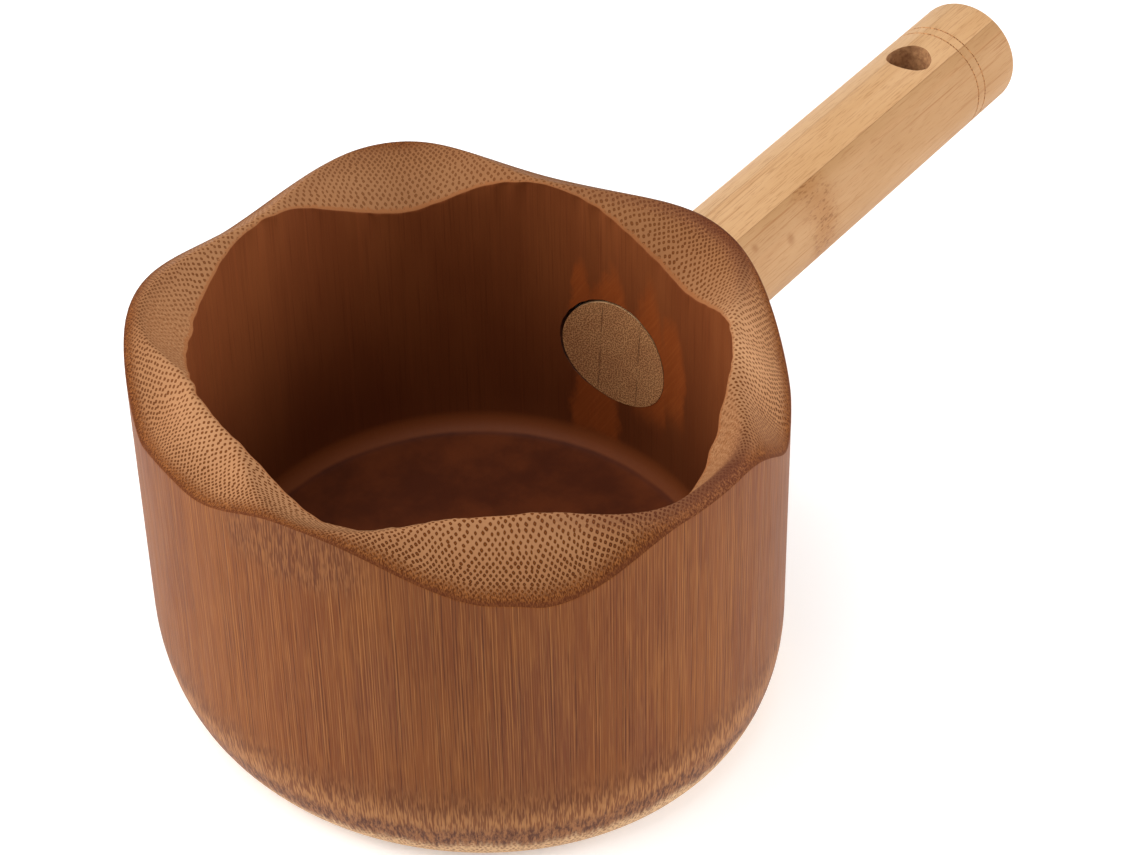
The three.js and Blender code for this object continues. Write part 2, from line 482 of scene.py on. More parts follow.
# carved rim
rimLook = {
    "deep": (120, 72, 36),
    "pale": (200, 150, 108),
    "gritScale": 3.0,  # clouds, per millimetre
    "patchScale": 0.07,
    "speckScale": 2.8,
    "patches": ((140, 88, 52), 0.35, 0.65, 0.15),
    "grit": ((110, 64, 34), 0.3, 0.75, 0.12),
    "outer": ((134, 84, 46), 0.3, 0.85, 0.4),  # by share of the wall
    "dots": ((92, 46, 16), (76, 36, 14), 0.3, 0.85),
    "dotMiddle": ((146, 88, 46), 0.35, 0.05, 0.45),
    "lipWidth": (0.045, 0.02),  # how much more where the facet falls to it, and the least
    "lipRagged": 0.16,
    "lip": ((148, 86, 46), 0.02, -0.02, 0.55),
    "beyondLip": (-0.02, 0.02),
    "plainPart": (0.0, 0.12),  # shares of the wall, inwards from the crest
    "plainFade": 0.8,
    "speckPart": (0.46, 0.6),
    "specks": ((148, 98, 62), (172, 124, 86)),
    "tickScale": (5.0, 3.0),  # round and across the wall, per millimetre
    "ticks": ((84, 41, 17), (140, 84, 42), 0.42, 0.62),
    "skin": (0.74, 0.95, 0.9),
    "edgeRagged": 0.12,
    "edge": ((92, 48, 28), 0.93, 0.985, 0.65),
    # the burnished crest, with its sheen painted in as colour
    "burnishSheenPart": (0.3, 0.08),  # by share of the wall from the crest
    "burnishSheenSpeck": (0.04, 0.16),
    "burnishAndSheen": ((90, 48, 36), (150, 96, 62)),
    "burnishSheenThick": 0.85,
    "roughness": (0.2, 0.62),  # how much a pattern adds, and the least
    "specular": 0.03,
    "gritRelief": 0.3,
    "dotRelief": -0.5,
    "relief": (0.4, 0.10),  # strength, and depth in millimetres
}


def carvedRimFinish():
    look = rimLook
    material, tree, shader = newFinish("carvedRim")
    place = culmPlace(tree)
    share = painted(tree, "share")
    crest = painted(tree, "crest")
    dots, size = bundleDots(place)
    spot = combine(place["x"], place["y"], place["height"])
    grit = cloud(spot, look["gritScale"], 3)
    patch = cloud(spot, look["patchScale"])
    ground = blend(painted(tree, "pale"), look["deep"], look["pale"])
    ground = layer(ground, patch, look["patches"])
    ground = layer(ground, grit, look["grit"])
    ground = layer(ground, share, look["outer"])
    ink = layer(twoTone(share, look["dots"]), size, look["dotMiddle"])
    # the knife leaves a plain lip inside, broad where the facet falls to it
    rough = scaled(minus(grit, 0.5), look["lipRagged"], share)
    fromLip = minus(rough, scaled(crest, *look["lipWidth"]))
    bold = times(painted(tree, "bold"), step(fromLip, *look["beyondLip"]))
    # where it runs along the fibres the cut shows only fine specks
    inward = step(minus(crest, share), *look["plainPart"])
    plain = times(painted(tree, "plain"), inward)
    speck = step(cloud(spot, look["speckScale"]), *look["speckPart"])
    ground = blend(plain, ground, blend(speck, *look["specks"]))
    bold = times(bold, minus(1.0, times(plain, look["plainFade"])))
    colour = blend(times(dots, bold), ground, ink)
    colour = layer(colour, fromLip, look["lip"])
    # towards the skin the bundles run together into fine ticks, then a dark edge
    around, across = look["tickScale"]
    tickSpot = ringSpot(place, around, times(place["radius"], across))
    skin = twoTone(cloud(tickSpot), look["ticks"])
    edge = scaled(minus(patch, 0.5), look["edgeRagged"], share)
    colour = layer(colour, edge, (skin, *look["skin"]))
    colour = layer(colour, edge, look["edge"])
    # hands have burnished the crest here and there, and its sheen is painted in as a darker purple-brown:
    # painted sheen
    near = apart(rough, crest)
    worn = times(painted(tree, "burnishAndSheen"), step(near, *look["burnishSheenPart"]))
    speck = times(speck, step(near, *look["burnishSheenSpeck"]))
    colour = lay(colour, worn, blend(speck, *look["burnishAndSheen"]), look["burnishSheenThick"])
    relief = scaled(grit, look["gritRelief"], times(dots, look["dotRelief"]))
    setSurface(shader, look, colour, scaled(grit, *look["roughness"]), relief)
    return material


# outer wall
wallLook = {
    "fibres": {  # across and along, per millimetre; seed, and detail and roughness if not 2 and 0.5
        "broad": (0.05, 0.03, 3.0, 3),
        "bands": (0.35, 0.008, 11.0),
        "fine": (5.0, 0.03, 37.0),
        "breaks": (0.9, 0.06, 53.0),
        "short": (4.0, 0.12, 67.0),
        "wander": (0.18, 0.05, 91.0, 4, 0.6),
    },
    "darkLines": (620, 23.0),  # how many round the culm, seed
    "paleLines": (830, 41.0),
    "ground": ((116, 61, 25), (126, 70, 29), 0.34, 0.66),
    "stains": [  # heading and half width in degrees, height and half height
        (229, 12, 34, 28),
        (248, 7, 28, 14),
        (203, 6, 45, 18),
    ],
    "stainRagged": 1.6,
    "stain": ((108, 56, 30), 1.1, 0.3, 0.6),
    "bands": ((110, 58, 26), 0.45, 0.7, 0.2),
    "pale": ((166, 108, 54), 0.85),
    "dark": ((80, 38, 16), 0.95),
    "fine": ((98, 52, 22), 0.48, 0.68, 0.25),
    "short": ((160, 104, 52), 0.5, 0.68, 0.3),
    "roughness": (0.2, 0.42),
    "specular": 0.12,
    "lineRelief": -0.6,
    "relief": (0.3, 0.10),
}
lineLook = {
    "sway": (0.04, 0.01),  # across and along, per millimetre
    "swayReach": 3.0,  # in lines
    "middle": (0.5, 0.25),  # of a line in its share of the ring: by chance, and the least
    "weight": (0.85, 0.15),
    "edge": (0.25, 0.05),
    "breakScale": (3.7, 0.04),  # per line, and per millimetre along it
    "breaks": (0.34, 0.58),
}
footLook = {
    "fibres": {
        "wobble": (0.12, 0.02, 71.0, 3),
        "ragged": (1.6, 0.10, 77.0),
        "dashes": (3.6, 0.32, 83.0, 1),
        "mottle": (1.6, 0.5, 97.0, 4, 0.7),
    },
    "lowered": 5.0,  # the bands below are given as levels, which wobble and are ragged
    "wobble": 5.0,
    "ragged": 5.0,
    "dashBand": (26.0, 15.0),
    "dashes": ((90, 47, 24), (146, 94, 52), 0.44, 0.6),
    "paleBand": (19.0, 13.0),
    "paleDashes": ((122, 72, 40), (180, 126, 78), 0.4, 0.58),
    "dashThick": 0.7,
    "cutHeading": 188,  # a shallow cut under the rim
    "cutRagged": 9.0,
    "cutSlope": -0.25,  # millimetres per degree
    "cutBand": (66.0, 73.0),
    "cutWidth": (17.0, 9.0),
    "cutThick": 0.8,
    "nodeBand": (13.0, 10.5, 0.9),
    "node": ((78, 38, 24), (150, 98, 60), 0.38, 0.62),
    "endBand": (8.0, 4.5),
    "end": (210, 170, 126),
    "poreCells": (1.4, 0.45),  # per millimetre, how random
    "pores": ((132, 86, 52), 0.55, 0.25, 0.9),
    "plateRadius": (45.0, 48.5),
    "plateCloud": (0.25, 4, 0.65),
    "plate": ((136, 92, 58), (170, 128, 90), 0.35, 0.65),
}


def stripes(place, count, seed):
    # thin lines round the culm, each coming and going along its length
    look = lineLook
    sway = fibre(place, *look["sway"], seed)
    turned = scaled(place["degrees"], count / 360, times(sway, look["swayReach"]))
    i = calc("FLOOR", turned)
    index = calc("FLOORED_MODULO", i, count)
    chance = newNode("ShaderNodeTexWhiteNoise", {"W": calc("ADD", index, seed)}, noise_dimensions="1D")
    middle = scaled(chance.outputs["Value"], *look["middle"])
    weight = scaled(parts(chance.outputs["Color"])[1], *look["weight"])
    line = step(apart(minus(turned, i), middle), *look["edge"])
    perLine, along = look["breakScale"]
    spot = combine(times(index, perLine), times(place["height"], along), seed)
    return times(times(line, weight), step(cloud(spot), *look["breaks"]))


def skinColour(place, fibres, darkLines):
    look = wallLook
    colour = twoTone(fibres["broad"], look["ground"])
    wander = minus(fibres["wander"], 0.5)
    for heading, half, level, reach in look["stains"]:
        aside = calc("DIVIDE", degreesFrom(place, heading), half)
        up = calc("DIVIDE", minus(place["height"], level), reach)
        away = calc("SQRT", scaled(aside, aside, times(up, up)))
        colour = layer(colour, scaled(wander, look["stainRagged"], away), look["stain"])
    colour = layer(colour, fibres["bands"], look["bands"])
    colour = lay(colour, stripes(place, *look["paleLines"]), *look["pale"])
    colour = lay(colour, darkLines, *look["dark"])
    colour = layer(colour, fibres["fine"], look["fine"])
    return layer(colour, fibres["short"], look["short"])


def footColour(place, colour):
    # near the foot the rounding cuts through the fibres: short dashes, the node, then end grain
    look = footLook
    height = place["height"]
    fibres = fibresOf(place, look)
    lowered = scaled(height, 0.5, -look["lowered"])
    tilted = scaled(place["square"], 0.5, lowered)  # half level, half square to the culm
    ragged = scaled(fibres["ragged"], look["ragged"], tilted)
    level = scaled(fibres["wobble"], look["wobble"], ragged)
    dashTone = twoTone(fibres["dashes"], look["dashes"])
    paleDash = twoTone(fibres["dashes"], look["paleDashes"])
    dashTone = blend(step(level, *look["paleBand"]), dashTone, paleDash)
    # one shallow cut under the rim shows the same dashes
    aside = calc("ABSOLUTE", degreesFrom(place, look["cutHeading"]))
    cutLevel = scaled(fibres["ragged"], look["cutRagged"], scaled(aside, look["cutSlope"], height))
    shallow = times(step(cutLevel, *look["cutBand"]), step(aside, *look["cutWidth"]))
    foot = step(level, *look["dashBand"])
    dashed = calc("MAXIMUM", foot, times(shallow, look["cutThick"]))
    colour = lay(colour, dashed, dashTone, look["dashThick"])
    nodeTone = twoTone(fibres["mottle"], look["node"])
    colour = layer(colour, level, (nodeTone, *look["nodeBand"]))
    spot = combine(place["x"], place["y"], height)
    endTone = layer(look["end"], cellsOf(spot, *look["poreCells"]), look["pores"])
    plate = twoTone(cloud(spot, *look["plateCloud"]), look["plate"])
    endTone = blend(step(place["radius"], *look["plateRadius"]), plate, endTone)
    return blend(step(level, *look["endBand"]), colour, endTone)


def outerWallFinish():
    look = wallLook
    material, tree, shader = newFinish("outerWall")
    place = culmPlace(tree)
    fibres = fibresOf(place, look)
    darkLines = stripes(place, *look["darkLines"])
    colour = footColour(place, skinColour(place, fibres, darkLines))
    relief = scaled(darkLines, look["lineRelief"], fibres["fine"])
    setSurface(shader, look, colour, scaled(fibres["breaks"], *look["roughness"]), relief)
    return material


# inside and bored walls
insideLook = {
    "fibres": {
        "broad": (0.06, 0.03, 5.0, 3),
        "lines": (0.9, 0.02, 17.0, 3, 0.6),
        "fine": (2.4, 0.05, 29.0),
        "flicker": (0.2, 0.15, 61.0, 3, 0.6),
    },
    "ground": ((122, 63, 31), (133, 72, 36), 0.3, 0.7),
    "lines": ((146, 76, 38), 0.5, 0.75, 0.3),
    "fine": ((84, 36, 16), 0.5, 0.8, 0.35),
    "dark": ((74, 32, 15), 62.0, 18.0, 0.48),  # painted shade, by height
    "flames": [  # sanded places by the handle: middle and half width in degrees, bottom, top
        (9.4, 3.0, 46, 63),
        (1.0, 4.8, 46, 64),
        (4.0, 9.0, 44, 57),
        (-9.8, 5.6, 36, 66),
        (-16.8, 6.0, 40, 61),
        (6.0, 7.0, 22, 40),
    ],
    "flickerDegrees": 5.0,
    "flickerHeight": 7.0,
    "flameEdge": (1.1, 0.45),
    "flameFade": 10.0,  # below the bottom
    "scratchSlant": (0.6, 0.85),  # by height and by degrees
    "scratchScale": (2.2, 0.12),  # across and along
    "sanded": ((152, 74, 30), (162, 82, 35), 0.4, 0.7),
    "sandedThick": 0.8,
    "floorCloud": (0.06, 4, 0.6),
    "floor": ((78, 35, 17), (101, 48, 22), 0.35, 0.68),
    "floorRagged": 0.5,
    "coveBelow": (18.6, 16.4),
    # painted light: the cove is paler where it curves up
    "cove": ((116, 59, 27), 0.9),
    "floorRadius": (47.0, 46.2),
    "edgeRadius": (45.4, 46.2),
    "edge": ((70, 30, 15), 0.3),
    "roughness": (0.15, 0.5),
    "specular": 0.12,
    "fineRelief": 0.5,
    "relief": (0.3, 0.10),
}
boredLook = {
    "grain": (700, 4, 0.7),  # per metre, detail, roughness
    "grainPart": (0.3, 0.7),
    "roughness": 0.8,
    "specular": 0.5,
    "relief": (0.5, 0.2),
    # painted shade: the mortise wall is dark for the shadow in the gap round the tenon
    "mortise": ((70, 34, 18), (120, 70, 40)),
    "hole": ((140, 94, 58), (190, 140, 92)),
}


def flamesOn(place, flicker):
    # sanded flames round the foot of the handle
    look = insideLook
    bearing = scaled(flicker, look["flickerDegrees"], place["degrees"])
    level = scaled(flicker, look["flickerHeight"], place["height"])
    sanded = 0.0
    for middle, half, bottom, top in look["flames"]:
        aside = calc("DIVIDE", apart(bearing, middle), half)
        up = calc("MAXIMUM", calc("DIVIDE", minus(level, bottom), top - bottom), 0.0)
        flame = step(scaled(up, up, times(aside, aside)), *look["flameEdge"])
        faded = times(flame, step(level, bottom - look["flameFade"], bottom))
        sanded = calc("MAXIMUM", sanded, faded)
    return sanded


def insideFinish():
    look = insideLook
    material, tree, shader = newFinish("inside")
    place = culmPlace(tree)
    height = place["height"]
    fibres = fibresOf(place, look)
    colour = twoTone(fibres["broad"], look["ground"])
    colour = layer(colour, fibres["lines"], look["lines"])
    colour = layer(colour, fibres["fine"], look["fine"])
    # painted shade: the wall is darkened downwards, towards the floor of the bowl, where shade falls
    colour = layer(colour, height, look["dark"])
    sanded = flamesOn(place, minus(fibres["flicker"], 0.5))
    byHeight, byDegrees = look["scratchSlant"]
    slant = scaled(height, byHeight, times(place["degrees"], byDegrees))
    across, along = look["scratchScale"]
    scratches = cloud(combine(times(slant, across), times(height, along), 0))
    sandTone = twoTone(scratches, look["sanded"])
    colour = lay(colour, sanded, sandTone, look["sandedThick"])
    # the floor is the node itself; the cove round it is painted paler where it curves up: painted light
    blot = cloud(combine(place["x"], place["y"], 0), *look["floorCloud"])
    radius = scaled(minus(blot, 0.5), look["floorRagged"], place["radius"])
    low = step(place["square"], *look["coveBelow"])
    colour = lay(colour, low, *look["cove"])
    floor = times(low, step(radius, *look["floorRadius"]))
    colour = blend(floor, colour, twoTone(blot, look["floor"]))
    colour = lay(colour, times(floor, step(radius, *look["edgeRadius"])), *look["edge"])
    relief = scaled(fibres["fine"], look["fineRelief"], fibres["lines"])
    setSurface(shader, look, colour, scaled(fibres["lines"], *look["roughness"]), relief)
    return material


def boredFinish(name, tones):
    look = boredLook
    material, tree, shader = newFinish(name)
    grain = cloud(objectSpot(tree), *look["grain"])
    colour = blend(step(grain, *look["grainPart"]), *tones)
    setSurface(shader, look, colour, look["roughness"], grain)
    return material


# bowl
bowlMesh = {
    "turns": 400,
    "baseRings": 6,
    "roundSteps": 12,
    "wallRows": 22,
    "rimRows": 16,  # on each side of the crest
    "coveSteps": 8,
    "floorRings": 10,
    "slack": 0.01,  # for telling one row of points from another
    "insideSlack": 1.0,  # for telling faces inside from those outside
    "knifeScale": 14,  # the knife wanders on the facets: how quickly round and across, and how far
    "knifeAcross": 2.5,
    "handWander": 0.25,
    "boreScale": 9,  # as the plant grew: how quickly the bore wanders round and up, and how far
    "boreUp": 0.02,
    "boreWander": 0.175,
    "boreNoise": (1.0, 2.0, 2),  # fall from octave to octave, their spacing, how many
    "boreAbove": 4,  # from this far above the cove
    "edgeReach": 4.0,  # how far in from the inner edge it is wavy, and how soon that fades downwards
    "edgeFade": 3,
    "waveScale": 17,
    "waveNoise": (1.0, 2.0, 3),
    "outWave": 0.5,  # how wavy where the facet faces out, and where it faces in
    "inWave": 0.65,
    "sandedShare": 0.03,  # of the wall's thickness, and millimetres below the rim
    "sandedBelow": 0.4,
    "sandedSoft": 0.5,
    "sandedTimes": 4,
    "smoothAngle": 38,
}
mortise = {"radius": 12.34, "rough": 0.16, "middleX": 55, "shiftY": 0.22, "shiftZ": 0.22}
bar = {  # the handle, before it is split into strips
    "radius": 12.0,
    "height": 41.7,
    "grip": 123.0,
    "endRound": 1.8,
    "stripThickness": 9.0,
    "stripOffset": -0.65,
    "glue": 0.04,
    "holeRadius": 4.8,
    "holeFromEnd": 26.6,
    "holeOffset": 1.0,
    "holeRough": 0.10,
    "rings": 2,
    "ringFromEnd": 13.6,
    "ringPitch": 2.7,
    "ringWidth": 0.4,
    "ringDepth": 0.14,
    "turns": 160,
    "footX": 44.0,  # where the foot is before it is fitted to the wall
    "footSlack": 0.5,
    "footRings": 14,
    "firstRow": 51,
    "rowPitch": 2.5,
    "rowClear": 2,  # of the scribed rings and the rounded end
    "roundSteps": 10,
    "endRings": 8,
    "endFacing": 0.72,  # faces that look along the bar more than this are end grain
    "smoothAngle": 35,
}
barY = leanY * bar["height"]
barEnd = culm["radius"] + bar["grip"]
ringPlaces = [barEnd - bar["ringFromEnd"] - bar["ringPitch"] * i for i in range(bar["rings"])]
glueLines = [bar["stripOffset"] + side * bar["stripThickness"] for side in (-0.5, 0.5)]


def quarter(steps):
    # the angles of a quarter turn, without its start
    return [math.pi / 2 * i / steps for i in range(1, steps + 1)]


def bowlProfile():
    radius, top, cove = culm["radius"], carving["crestHeight"], culm["floorCove"]
    flat = radius - culm["baseReach"]
    points = [(flat * i / bowlMesh["baseRings"], 0) for i in range(bowlMesh["baseRings"] + 1)]
    for turn in quarter(bowlMesh["roundSteps"]):
        inset = culm["baseReach"] * (1 - math.sin(turn))
        points.append((radius - inset, culm["baseRise"] * (1 - math.cos(turn))))
    rows = bowlMesh["wallRows"]
    closing = [1 - (1 - i / rows) ** 2 for i in range(1, rows + 1)]  # rows close up under the rim
    points += [(radius, lerp(culm["baseRise"], top, part)) for part in closing]
    across = 2 * bowlMesh["rimRows"]
    points += [(radius - culm["wall"] * i / across, top) for i in range(1, across + 1)]
    points += [(boreRadius, lerp(coveTop, top, part)) for part in reversed([0] + closing[:-1])]
    for turn in quarter(bowlMesh["coveSteps"]):
        points.append((boreRadius - cove * (1 - math.cos(turn)), coveTop - cove * math.sin(turn)))
    rings = bowlMesh["floorRings"]
    points += [((boreRadius - cove) * (1 - i / rings), culm["floorHeight"]) for i in range(1, rings + 1)]
    return [(x * mm, 0, z * mm) for x, z in points]


def carvePoint(x, y, z, cut, ring):
    # where a point of the blank goes: radius, height, share of the wall, and if the sander takes it
    top, rise, slack = carving["crestHeight"], culm["baseRise"], bowlMesh["slack"]
    radius = math.hypot(x, y)
    share = (radius - boreRadius) / culm["wall"]
    sanded = False
    if z > top - slack:
        crest = cut["crest"]
        share = lerp(crest, 1, ease(2 * share - 1)) if share >= 0.5 else lerp(crest, 0, ease(1 - 2 * share))
        radius = boreRadius + culm["wall"] * share
        knife = noise.noise(ring * bowlMesh["knifeScale"] + Vector((0, 0, share * bowlMesh["knifeAcross"])))
        scoop = bowlMesh["handWander"] * (0.5 + 0.5 * knife)
        z = rimHeight(cut, share) - scoop * ease(4 * share * (1 - share))
        sanded = min(share, 1 - share) < bowlMesh["sandedShare"]
    elif radius > culm["radius"] - slack and z > rise:
        edge = rimHeight(cut, 1)
        z = lerp(rise, edge, (z - rise) / (top - rise))
        sanded = edge - z < bowlMesh["sandedBelow"]
    elif abs(radius - boreRadius) < slack and z > coveTop - slack:
        edge = rimHeight(cut, 0)
        foot = coveTop - leanX * x - leanY * y
        z = lerp(foot, edge, (z - coveTop) / (top - coveTop))
        sanded = edge - z < bowlMesh["sandedBelow"]
    elif radius < boreRadius and z > culm["floorHeight"] - slack:
        z -= leanX * x + leanY * y  # the floor is square to the leaning culm
    return radius, z, share, sanded


def boreWander(radius, height, z, cut, ring):
    # how far the bore wanders there; height is the point's height in the blank
    near = 1 - (radius - boreRadius) / bowlMesh["edgeReach"]
    if near <= 0 or z <= coveTop + bowlMesh["boreAbove"]:
        return 0
    close = ease(min(near, 1))
    spot = ring * bowlMesh["boreScale"] + Vector((0, 0, height * bowlMesh["boreUp"]))
    grown = noise.fractal(spot, *bowlMesh["boreNoise"])
    wave = lerp(bowlMesh["outWave"], bowlMesh["inWave"], cut["crest"])
    wave *= noise.fractal(ring * bowlMesh["waveScale"], *bowlMesh["waveNoise"])
    fade = close * math.exp(min(0, z - rimHeight(cut, 0)) / bowlMesh["edgeFade"])
    return bowlMesh["boreWander"] * grown * close + wave * fade


def carveBowl(bowl):
    corners, marks = [], []
    for point in bowl.data.vertices:
        x, y, height = point.co / mm
        turn = math.atan2(y, x)
        angle = math.degrees(turn)
        cut = carvingAt(angle)
        ring = Vector((math.cos(turn), math.sin(turn), 0))
        radius, z, share, sanded = carvePoint(x, y, height, cut, ring)
        radius += boreWander(radius, height, z, cut, ring)
        corners.append(sanded)
        marks.append((cut["crest"], share, *toneAt(angle)))
        x = radius * math.cos(turn) + leanX * z
        y = radius * math.sin(turn) + leanY * z
        point.co = Vector((x, y, z)) * mm
    for name, values in zip(("crest", "share", "pale", "bold", "burnishAndSheen", "plain"), zip(*marks)):
        bowl.data.attributes.new(name, "FLOAT", "POINT").data.foreach_set("value", values)
    # the sander takes the sharpness off both edges of the rim
    bpy.ops.object.mode_set(mode="EDIT")
    bpy.ops.mesh.select_mode(type="VERT")
    bpy.ops.mesh.select_all(action="DESELECT")
    bpy.ops.object.mode_set(mode="OBJECT")
    bowl.data.vertices.foreach_set("select", corners)
    bpy.ops.object.mode_set(mode="EDIT")
    bpy.ops.mesh.vertices_smooth(factor=bowlMesh["sandedSoft"], repeat=bowlMesh["sandedTimes"])
    bpy.ops.object.mode_set(mode="OBJECT")


def makeBowl():
    bowl = turnPiece("bowlCulm", bowlProfile(), bowlMesh["turns"], (0, 0, 0), (0, 0, 1))
    for finish in (outerWallFinish(), carvedRimFinish(), insideFinish()):
        bowl.data.materials.append(finish)
    rimLevel = (carving["crestHeight"] - bowlMesh["slack"]) * mm
    floorLevel = (culm["floorHeight"] - bowlMesh["insideSlack"]) * mm
    insideReach = (boreRadius + bowlMesh["insideSlack"]) * mm
    for face in bowl.data.polygons:
        heights = [bowl.data.vertices[i].co.z for i in face.vertices]
        radius = math.hypot(face.center.x, face.center.y)
        if min(heights) > rimLevel:
            face.material_index = 1
        elif radius < insideReach and max(heights) > floorLevel:
            face.material_index = 2
    carveBowl(bowl)
    middle = (mortise["middleX"], barY + mortise["shiftY"], bar["height"] + mortise["shiftZ"])
    # the mortise wall is painted dark, as painted shade in the gap round the tenon
    drill(
        bowl, "mortiseCutter", mortise["radius"], middle, (0, math.pi / 2, 0),
        mortise["rough"], boredFinish("boredWallPaintedShade", boredLook["mortise"]),
    )
    bpy.ops.object.shade_smooth_by_angle(angle=math.radians(bowlMesh["smoothAngle"]))
    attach(bowl, "root")
    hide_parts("bowl")
    print("bowl:", len(bowl.data.polygons), "faces")


makeBowl()


# handle
stripLook = {
    "grains": {  # along and across, per millimetre; added to the seed, detail
        "broad": (0.02, 0.12, 0, 3),
        "bands": (0.006, 0.6, 7, 2),
        "lines": (0.03, 2.0, 13, 2),
        "fine": (0.08, 5.0, 23, 2),
        "dashes": (0.22, 4.0, 29, 2),
        "nodeEdge": (0.15, 0.35, 31, 3),
        "knots": (0.6, 2.2, 43, 3),
    },
    "groundPart": (0.3, 0.7),
    "bands": ((184, 136, 92), 0.45, 0.75, 0.25),
    "lines": ((158, 108, 66), 0.58, 0.72),  # how thick they lie is each strip's own
    "fine": ((156, 106, 66), 0.54, 0.75, 0.25),
    "dashes": ((152, 104, 64), 0.54, 0.68, 0.42),
    "nodeRagged": 8.0,
    "nodeHalf": 4.0,
    "nodePart": (8.5, 0.0),
    "node": ((162, 112, 66), 0.6),
    "knotPart": (0.5, 0.66),
    "knot": ((118, 70, 36), 0.65),
    "spotRagged": 1.2,
    "spotInner": 0.4,  # share of a spot's reach
    "spotMore": 0.6,
    "spot": ((140, 90, 50), 0.5),
    "glue": ((140, 90, 50), 0.16, 0.04, 0.15),
    "ringPart": (0.28, 0.08),
    "ringWorn": (0.3, 0.65),
    "ringGrain": (0.02, 0.10),
    "ring": (118, 80, 50),
    "rings": [(3.0, 0.35), (4.0, 0.55)],  # seed, how thick; the one nearer the end first
    "roughness": (0.15, 0.45),
    "specular": 0.12,
    "fineRelief": 0.5,
    "relief": (0.3, 0.08),
}
strips = {  # nodeAt: where a node of the plant crosses, far off if none does; spots: place and reach
    "left": {
        "deep": (198, 156, 112), "pale": (206, 166, 124), "lines": 0.25,
        "seed": 2.0, "nodeAt": 400, "spots": [],
    },
    "middle": {
        "deep": (196, 152, 106), "pale": (206, 164, 120), "lines": 0.5,
        "seed": 19.0, "nodeAt": 400, "spots": [],
    },
    # the right strip is darker partly by its own tone and partly by painted shade for the shade along the
    # lower side of the handle
    "right": {
        "deep": (173, 131, 88), "pale": (185, 144, 102), "lines": 0.7,
        "seed": 31.0, "nodeAt": 105, "spots": [(82.8, -8.0, 8.9, 1.5), (93.1, -10.3, 6.2, 1.8)],
    },
}
endLook = {
    "poreCells": (2.5, 0.8, "2D"),  # per millimetre, how random
    "poreEdge": (0.5, 0.2),
    "grit": (3.2, 3, 0.6),
    "patch": (0.16, 3),
    "ground": ((186, 132, 84), (210, 156, 104), 0.3, 0.7),
    "patches": ((168, 106, 68), 0.35, 0.65, 0.3),
    "pore": ((112, 66, 38), 0.8),
    "glueCloud": (0.15, 2),
    "glueWorn": (0.4, 0.6),
    "gluePart": (0.3, 0.08),
    "glue": ((96, 54, 28), 0.4),
    "roughness": 0.75,
    "specular": 0.12,
    "poreRelief": -0.6,
    "relief": (0.4, 0.12),
}


def barPlace(tree):
    # places about the middle of the bar, in millimetres
    x, y, z = parts(objectSpot(tree))
    return {
        "along": times(x, 1 / mm),
        "side": scaled(y, 1 / mm, -barY),
        "up": scaled(z, 1 / mm, -bar["height"]),
    }


def grain(place, along, across, seed, detail=2.0):
    aside = times(place["side"], across)
    up = times(place["up"], across)
    return cloud(combine(scaled(place["along"], along, seed), aside, up), 1.0, detail)


def stripFinish(name):
    look, own = stripLook, strips[name]
    material, tree, shader = newFinish("strip" + name.capitalize())
    place = barPlace(tree)
    grains = {}
    for kind, (along, across, more, detail) in look["grains"].items():
        grains[kind] = grain(place, along, across, own["seed"] + more, detail)
    colour = blend(step(grains["broad"], *look["groundPart"]), own["deep"], own["pale"])
    colour = layer(colour, grains["bands"], look["bands"])
    colour = layer(colour, grains["lines"], (*look["lines"], own["lines"]))
    colour = layer(colour, grains["fine"], look["fine"])
    colour = layer(colour, grains["dashes"], look["dashes"])
    # a node of the plant crosses one of the strips
    away = minus(apart(place["along"], own["nodeAt"]), look["nodeHalf"])
    spread = scaled(grains["nodeEdge"], look["nodeRagged"], away)
    nearNode = step(spread, *look["nodePart"])
    colour = lay(colour, nearNode, *look["node"])
    knots = times(step(grains["knots"], *look["knotPart"]), nearNode)
    colour = lay(colour, knots, *look["knot"])
    for along, side, up, reach in own["spots"]:
        away = 0.0
        for axis, middle in (("along", along), ("side", side), ("up", up)):
            gap = minus(place[axis], middle)
            away = scaled(gap, gap, away)
        ragged = scaled(grains["dashes"], look["spotRagged"], calc("SQRT", away))
        spot = step(ragged, reach + look["spotMore"], look["spotInner"] * reach)
        colour = lay(colour, spot, *look["spot"])
    for line in glueLines:
        colour = layer(colour, apart(place["side"], line), look["glue"])
    # the scribed rings are darker, and worn in places
    for line, (seed, thick) in zip(ringPlaces, look["rings"]):
        scribe = step(apart(place["along"], line), *look["ringPart"])
        worn = step(grain(place, *look["ringGrain"], seed), *look["ringWorn"])
        colour = lay(colour, times(scribe, worn), look["ring"], thick)
    relief = scaled(grains["fine"], look["fineRelief"], grains["lines"])
    setSurface(shader, look, colour, scaled(grains["lines"], *look["roughness"]), relief)
    return material


def endGrainFinish():
    look = endLook
    material, tree, shader = newFinish("endGrain")
    place = barPlace(tree)
    spot = combine(place["side"], place["up"], 0)
    pores = step(cellsOf(spot, *look["poreCells"]), *look["poreEdge"])
    grit = cloud(spot, *look["grit"])
    colour = twoTone(grit, look["ground"])
    colour = layer(colour, cloud(spot, *look["patch"]), look["patches"])
    colour = lay(colour, pores, *look["pore"])
    # the glue lines show in places
    worn = step(cloud(spot, *look["glueCloud"]), *look["glueWorn"])
    for line in glueLines:
        glue = step(apart(place["side"], line), *look["gluePart"])
        colour = lay(colour, times(glue, worn), *look["glue"])
    setSurface(shader, look, colour, look["roughness"], scaled(pores, look["poreRelief"], grit))
    return material


